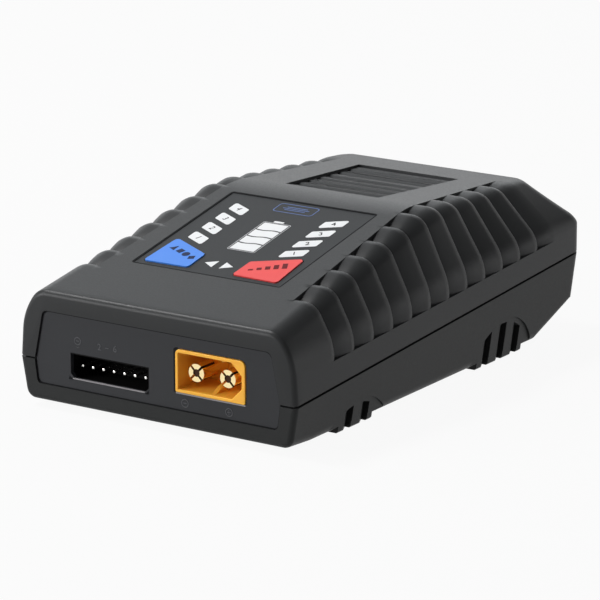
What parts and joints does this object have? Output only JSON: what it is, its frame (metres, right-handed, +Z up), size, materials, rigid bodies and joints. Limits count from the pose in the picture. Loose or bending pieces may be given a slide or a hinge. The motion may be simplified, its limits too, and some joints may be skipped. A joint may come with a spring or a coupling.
{
  "type": "balance battery charger",
  "caption": "Mains balance charger for model batteries: wedge-roofed plastic box with ribbed shoulders, two keys, charge windows, louvred fan outlet, balance port and two-pin battery connector.",
  "frame": {"origin": "centre of the footprint, on the surface the feet stand on", "axes": "+X to the right seen from the front, +Y to the rear, +Z up"},
  "size_m": [0.0656, 0.1062, 0.0346],
  "materials": {
    "shell_plastic": "fine textured charcoal",
    "panel_plastic": "fine textured charcoal",
    "header_plastic": "plain black",
    "tin_contact": "bright tin plating",
    "connector_yellow": "satin yellow-orange",
    "gold_contact": "gold plating",
    "label_film": "satin printed film",
    "key_blue": "satin light blue",
    "key_red": "satin coral red",
    "switch_plastic": "plain black",
    "light_guide": "translucent white",
    "board_laminate": "solder mask",
    "screw_steel": "zinc plated",
    "led_white": "clear epoxy",
    "ferrite": "sintered, dull",
    "winding_tape": "polyester tape",
    "capacitor_sleeve": "printed sleeve, bare",
    "chip_epoxy": "moulded epoxy",
    "sink_aluminium": "plain extrusion",
    "winding_copper": "enamelled copper",
    "fuse_ceramic": "ceramic tube",
    "fan_plastic": "plain black",
    "bearing_brass": "sintered"
  },
  "bodies": {
    "case": {"balance_pins": "tin_contact", "balance_port_housing": "header_plastic", "balance_resistors": "chip_epoxy", "battery_connector_housing": "connector_yellow", "battery_pins": "gold_contact", "board_link_pins": "tin_contact", "board_link_socket": "header_plastic", "bulk_capacitor": "capacitor_sleeve", "case_screws": "screw_steel", "control_board": "board_laminate", "control_board_screws": "screw_steel", "controller_chip": "chip_epoxy", "fan_bearing": "bearing_brass", "fan_frame": "fan_plastic", "fan_screws": "screw_steel", "fan_stator": "winding_copper", "front_panel": "panel_plastic", "heat_sink": "sink_aluminium", "indicator_leds": "led_white", "inlet_pins": "tin_contact", "label_overlay": "label_film", "light_guide": "light_guide", "lower_shell": "shell_plastic", "main_board": "board_laminate", "main_board_screws": "screw_steel", "mains_choke": "winding_copper", "mains_fuse": "fuse_ceramic", "mains_inlet": "header_plastic", "output_capacitors": "capacitor_sleeve", "output_inductor": "ferrite", "power_transistors": "chip_epoxy", "rear_panel": "panel_plastic", "rectifier_bridge": "chip_epoxy", "tact_switches": "switch_plastic", "transformer_core": "ferrite", "transformer_winding": "winding_tape", "upper_shell": "shell_plastic"},
    "mode_key_body": {"mode_key": "key_blue", "mode_switch_plunger": "switch_plastic"},
    "current_key_body": {"current_key": "key_red", "current_switch_plunger": "switch_plastic"},
    "fan_rotor": {"fan_impeller": "fan_plastic"}
  },
  "joints": [
    {"name": "mode_key_press", "type": "slide", "parent": "case", "child": "mode_key_body", "axis": [0, 0.201, -0.9796], "range_m": [0, 0.0003], "stiffness_N_per_m": 1500},
    {"name": "current_key_press", "type": "slide", "parent": "case", "child": "current_key_body", "axis": [0, 0.201, -0.9796], "range_m": [0, 0.0003], "stiffness_N_per_m": 1500},
    {"name": "fan_spin", "type": "hinge", "parent": "case", "child": "fan_rotor", "pos_m": [0, 0.0209, 0.0247], "axis": [0, 0, 1], "continuous": true}
  ]
}
